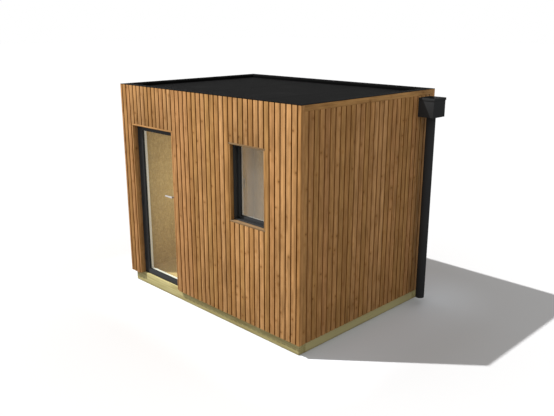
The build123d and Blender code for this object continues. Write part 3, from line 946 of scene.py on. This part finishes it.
class STUDIO_OT_roof(bpy.types.Operator):
    """Lay the roofing sheet with its laps and wrap the kerbs"""

    bl_idname = "studio.roof"
    bl_label = "Roof"

    def execute(self, context):
        roof = context.scene.studio_roof
        sheet = rubber_sheet("roof_sheet_rubber", roof)
        low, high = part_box("roof_membrane")
        bm = bmesh.new()
        top = self.lay_top(bm, roof, low, high)
        self.close_below(bm, top, low.z)
        finish_mesh("roof_sheet", bm, sheet, ["roof_membrane"], sharp=60)
        for side, seed in (("long", 2), ("end", 3)):
            name, node = f"{side}_kerb_wraps", f"{side}_parapets"
            eased_copy(name, node, KERB_EASE, sheet, seed=seed, segments=3)
        return {"FINISHED"}

    def lay_top(self, bm, roof, low, high):
        """The sheet's upper face in rows of vertices, with swells and a lap at each sheet's edge."""
        draw = random.Random(SWELL_SEED)
        ranges = (SWELL_WAVES, SWELL_WAVES, SWELL_PHASE, SWELL_SHARE)
        swells = [[draw.uniform(*limits) for limits in ranges] for _ in range(SWELL_COUNT)]
        total = sum(swell[-1] for swell in swells)
        size = high - low
        columns = roof.cells
        rows = max(FEWEST_ROWS, int(columns * size.y / size.x))
        top = []
        for r in range(rows + 1):
            top.append([])
            for c in range(columns + 1):
                x = low.x + size.x * c / columns
                y = low.y + size.y * r / rows
                swell = sum(share * math.sin(kx * x + ky * y + p) for kx, ky, p, share in swells) / total
                lap = ((x - low.x) / roof.sheet_width) % 1.0
                rise = roof.lap_height * max(0.0, 1 - lap * roof.sheet_width / LAP_WIDTH)
                top[r].append(bm.verts.new((x, y, high.z + swell * roof.ripple + rise)))
        for near, far in zip(top, top[1:]):
            for c in range(columns):
                bm.faces.new((near[c], near[c + 1], far[c + 1], far[c]))
        return top

    def close_below(self, bm, top, level):
        """Sides and a flat underside, so that the sheet is a solid."""
        right = [line[-1] for line in top[:-1]]
        left = [line[0] for line in top[:0:-1]]
        rim = top[0][:-1] + right + top[-1][:0:-1] + left
        foot = [bm.verts.new((v.co.x, v.co.y, level)) for v in rim]
        for i, upper in enumerate(rim):
            bm.faces.new((rim[i - 1], foot[i - 1], foot[i], upper))
        bm.faces.new(foot[::-1])


class STUDIO_OT_door_frame(bpy.types.Operator):
    """Finish the door frame, threshold and the frame's hinge halves"""

    bl_idname = "studio.door_frame"
    bl_label = "Door frame"

    def execute(self, context):
        joinery = context.scene.studio_joinery
        coat = coated_metal("door_frame_coat", joinery.frame_colour, joinery.frame_dust, sheen=0.46)
        for node in ("door_frame_jambs", "door_frame_head", "door_threshold"):
            eased_copy(f"{node}_coated", node, joinery.edge, coat)
        eased_copy("frame_hinge_knuckles", "door_hinge_frame_halves", SMALL_EASE, coat)
        return {"FINISHED"}


class STUDIO_OT_door_leaf(bpy.types.Operator):
    """Finish the leaf, its glass, beads, gasket and hinge halves"""

    bl_idname = "studio.door_leaf"
    bl_label = "Door leaf"

    def execute(self, context):
        joinery = context.scene.studio_joinery
        coat = coated_metal("door_leaf_coat", joinery.frame_colour, joinery.frame_dust, sheen=0.44)
        for members in ("stiles", "rails"):
            eased_copy(f"leaf_{members}", f"door_{members}", joinery.edge, coat, "door")
        eased_copy("leaf_hinge_knuckles", "door_hinge_leaf_halves", SMALL_EASE, coat, "door")
        glaze(
            "door", "leaf", "door", joinery.bead_colour,
            joinery.glass_tint, joinery.door_mirror, joinery.door_film,
        )
        add_gasket("door", "leaf", "door")
        return {"FINISHED"}


class STUDIO_OT_door_handle(bpy.types.Operator):
    """Finish the lever and plates, with lock cylinders and screws"""

    bl_idname = "studio.door_handle"
    bl_label = "Door handle"

    def execute(self, context):
        steel = satin_steel("handle_steel", context.scene.studio_joinery.steel_colour)
        plates = "door_handle_plates"
        eased_copy("handle_plate_pair", plates, PLATE_EASE, steel, "door", segments=3)
        eased_copy("handle_levers", "door_lever", LEVER_EASE, steel, "lever")
        self.make_fixings(steel, *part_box(plates))
        return {"FINISHED"}

    def make_fixings(self, steel, low, high):
        """A lock cylinder and two screws on each plate."""
        middle = (low.x + high.x) / 2
        bm = bmesh.new()
        for y, out in ((low.y, -1), (high.y, 1)):
            disc(bm, (middle, y, low.z + CYLINDER_UP), (0, out, 0), *CYLINDER_DISC)
            for z in (low.z + SCREW_IN, high.z - SCREW_IN):
                disc(bm, (middle, y, z), (0, out, 0), *SCREW_DISC)
        finish_mesh("handle_plate_fixings", bm, steel, [], "door")


class STUDIO_OT_window(bpy.types.Operator):
    """Finish the window frame, sash, glass, beads, gasket and handle"""

    bl_idname = "studio.window"
    bl_label = "Window"

    def execute(self, context):
        joinery = context.scene.studio_joinery
        coat = coated_metal("window_coat", joinery.frame_colour, joinery.frame_dust, sheen=0.45)
        for node in ("window_frame_jambs", "window_frame_rails", "window_sash_stiles", "window_sash_rails"):
            eased_copy(f"{node}_coated", node, joinery.edge, coat)
        glaze(
            "window", "window", "building", joinery.bead_colour,
            joinery.window_tint, joinery.window_mirror, joinery.window_film,
        )
        steel = satin_steel("window_handle_steel", joinery.steel_colour)
        eased_copy("window_handle_grip", "window_handle", LEVER_EASE, steel)
        add_gasket("window", "window", "building")
        return {"FINISHED"}


class STUDIO_OT_rainwater(bpy.types.Operator):
    """Finish the hopper and the downpipe"""

    bl_idname = "studio.rainwater"
    bl_label = "Rainwater goods"

    def execute(self, context):
        joinery = context.scene.studio_joinery
        colour, dust = joinery.gutter_colour, joinery.gutter_dust
        coat = coated_metal("rainwater_coat", colour, dust, sheen=0.7, gloss=0.0)
        eased_copy("hopper_box", "hopper", HOPPER_EASE, coat)
        eased_copy("downpipe_tube", "downpipe", PIPE_EASE, coat)
        return {"FINISHED"}


class STUDIO_OT_stage(bpy.types.Operator):
    """Set the camera, the sun, the even light and a white floor that keeps the shadow"""

    bl_idname = "studio.stage"
    bl_label = "Stage"

    def execute(self, context):
        scene = context.scene
        stage = scene.studio_stage
        self.make_camera(scene, stage)
        self.make_sun(stage)
        self.make_room_lamps(stage)
        self.make_floor(stage)
        self.make_sky(scene, stage)
        scene.view_settings.view_transform = "Standard"
        return {"FINISHED"}

    def make_camera(self, scene, stage):
        """A camera at the picture's place and angle."""
        data = bpy.data.cameras.new("studio_camera")
        data.lens = stage.focal_pixels / IMAGE_WIDTH * data.sensor_width
        data.clip_end = VIEW_END
        camera = add_object("studio_camera", data)
        camera.location = stage.camera_place
        camera.rotation_euler = (math.pi / 2 - stage.camera_drop, 0.0, stage.camera_azimuth)
        scene.camera = camera

    def add_light(self, name, kind, energy, place):
        """A light at a place."""
        lamp = add_object(name, bpy.data.lights.new(name, kind))
        lamp.data.energy = energy
        lamp.location = place
        return lamp

    def make_sun(self, stage):
        """A sun whose light travels in the set direction."""
        sun = self.add_light("sun", "SUN", stage.sun_strength, SUN_PLACE)
        sun.data.angle = stage.sun_width
        sun.rotation_mode = "QUATERNION"
        sun.rotation_quaternion = Vector(stage.sun_travel).to_track_quat("-Z", "Y")

    def make_room_lamps(self, stage):
        """Soft lights in the room, halfway up."""
        low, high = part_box("floor_deck")
        level = (high.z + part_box("roof_deck")[0].z) / 2
        for name, along, deep, share in ROOM_LAMPS:
            place = (low.x + (high.x - low.x) * along, low.y + (high.y - low.y) * deep, level)
            lamp = self.add_light(name, "POINT", stage.room_power * share, place)
            lamp.data.shadow_soft_size = ROOM_LAMP_RADIUS
            lamp.visible_camera = False
            lamp.visible_glossy = False

    def make_floor(self, stage):
        """A pale floor with painted light beside the walls, against their shade on it, that lights the walls
        less than it shows.
        """
        f = Finish("floor_pale")
        # Painted light beside the walls, fading out over the reach
        mirrored = f.vector_maths("ABSOLUTE", f.coordinates())
        past = f.vector_maths("SUBTRACT", mirrored, (FRONT_HIGH.x, -FRONT_LOW.y, 0.0))
        outside = f.vector_maths("MAXIMUM", past, (0.0, 0.0, 0.0))
        away = f.vector_maths("LENGTH", outside, output="Value").rise(0.0, stage.floor_reach)
        seen = f.mix(away, stage.floor_painted_light, [stage.floor_pale] * 3)
        bounced = f.node("ShaderNodeLightPath", output="Is Diffuse Ray")
        colour = f.mix(bounced, seen, [stage.floor_bounce] * 3)
        mesh = bpy.data.meshes.new("floor")
        corners = [(u, v, 0.0) for u, v in rectangle(-FLOOR_HALF, FLOOR_HALF, -FLOOR_HALF, FLOOR_HALF)]
        mesh.from_pydata(corners, [], [(0, 1, 2, 3)])
        mesh.materials.append(f.surface(colour, 1.0, specular=0.0))
        floor = add_object("floor", mesh)

    def make_sky(self, scene, stage):
        """White where it is seen or mirrored, and even light elsewhere."""
        world = bpy.data.worlds.new("sky")
        world.use_nodes = True
        sky = Nodes(world.node_tree)
        rays = ("Is Camera Ray", "Is Glossy Ray", "Is Transmission Ray")
        seen, mirrored, through = (sky.node("ShaderNodeLightPath", output=ray) for ray in rays)
        white = seen.maths("MAXIMUM", mirrored.maths("MAXIMUM", through))
        strength = white * (1.0 - stage.sky_strength) + stage.sky_strength
        back = sky.node("ShaderNodeBackground", None, {"Color": WHITE, "Strength": strength})
        sky.node("ShaderNodeOutputWorld", None, {"Surface": back})
        scene.world = world


class STUDIO_PT_looks(bpy.types.Panel):
    """Lists the pieces of the studio"""

    bl_idname = "STUDIO_PT_looks"
    bl_label = "Garden studio"
    bl_space_type = "VIEW_3D"
    bl_region_type = "UI"
    bl_category = "Studio"

    def draw(self, context):
        for step in STEPS:
            self.layout.operator(step.bl_idname)


SETTINGS = {
    "studio_wood": StudioWood,
    "studio_joinery": StudioJoinery,
    "studio_roof": StudioRoof,
    "studio_stage": StudioStage,
}
STEPS = (
    STUDIO_OT_base, STUDIO_OT_walls, STUDIO_OT_cladding, STUDIO_OT_reveals, STUDIO_OT_roof,
    STUDIO_OT_door_frame, STUDIO_OT_door_leaf, STUDIO_OT_door_handle, STUDIO_OT_window,
    STUDIO_OT_rainwater, STUDIO_OT_stage,
)
CLASSES = (*SETTINGS.values(), *STEPS, STUDIO_PT_looks)


def register():
    """Add the settings, the operators and the panel."""
    for item in CLASSES:
        bpy.utils.register_class(item)
    for name, group in SETTINGS.items():
        setattr(bpy.types.Scene, name, PointerProperty(type=group))


def unregister():
    """Take them away again."""
    for name in SETTINGS:
        delattr(bpy.types.Scene, name)
    for item in reversed(CLASSES):
        bpy.utils.unregister_class(item)


def main():
    """Dress the studio."""
    register()
    for step in STEPS:
        getattr(bpy.ops.studio, step.bl_idname.removeprefix("studio."))()


if __name__ == "__main__":
    main()
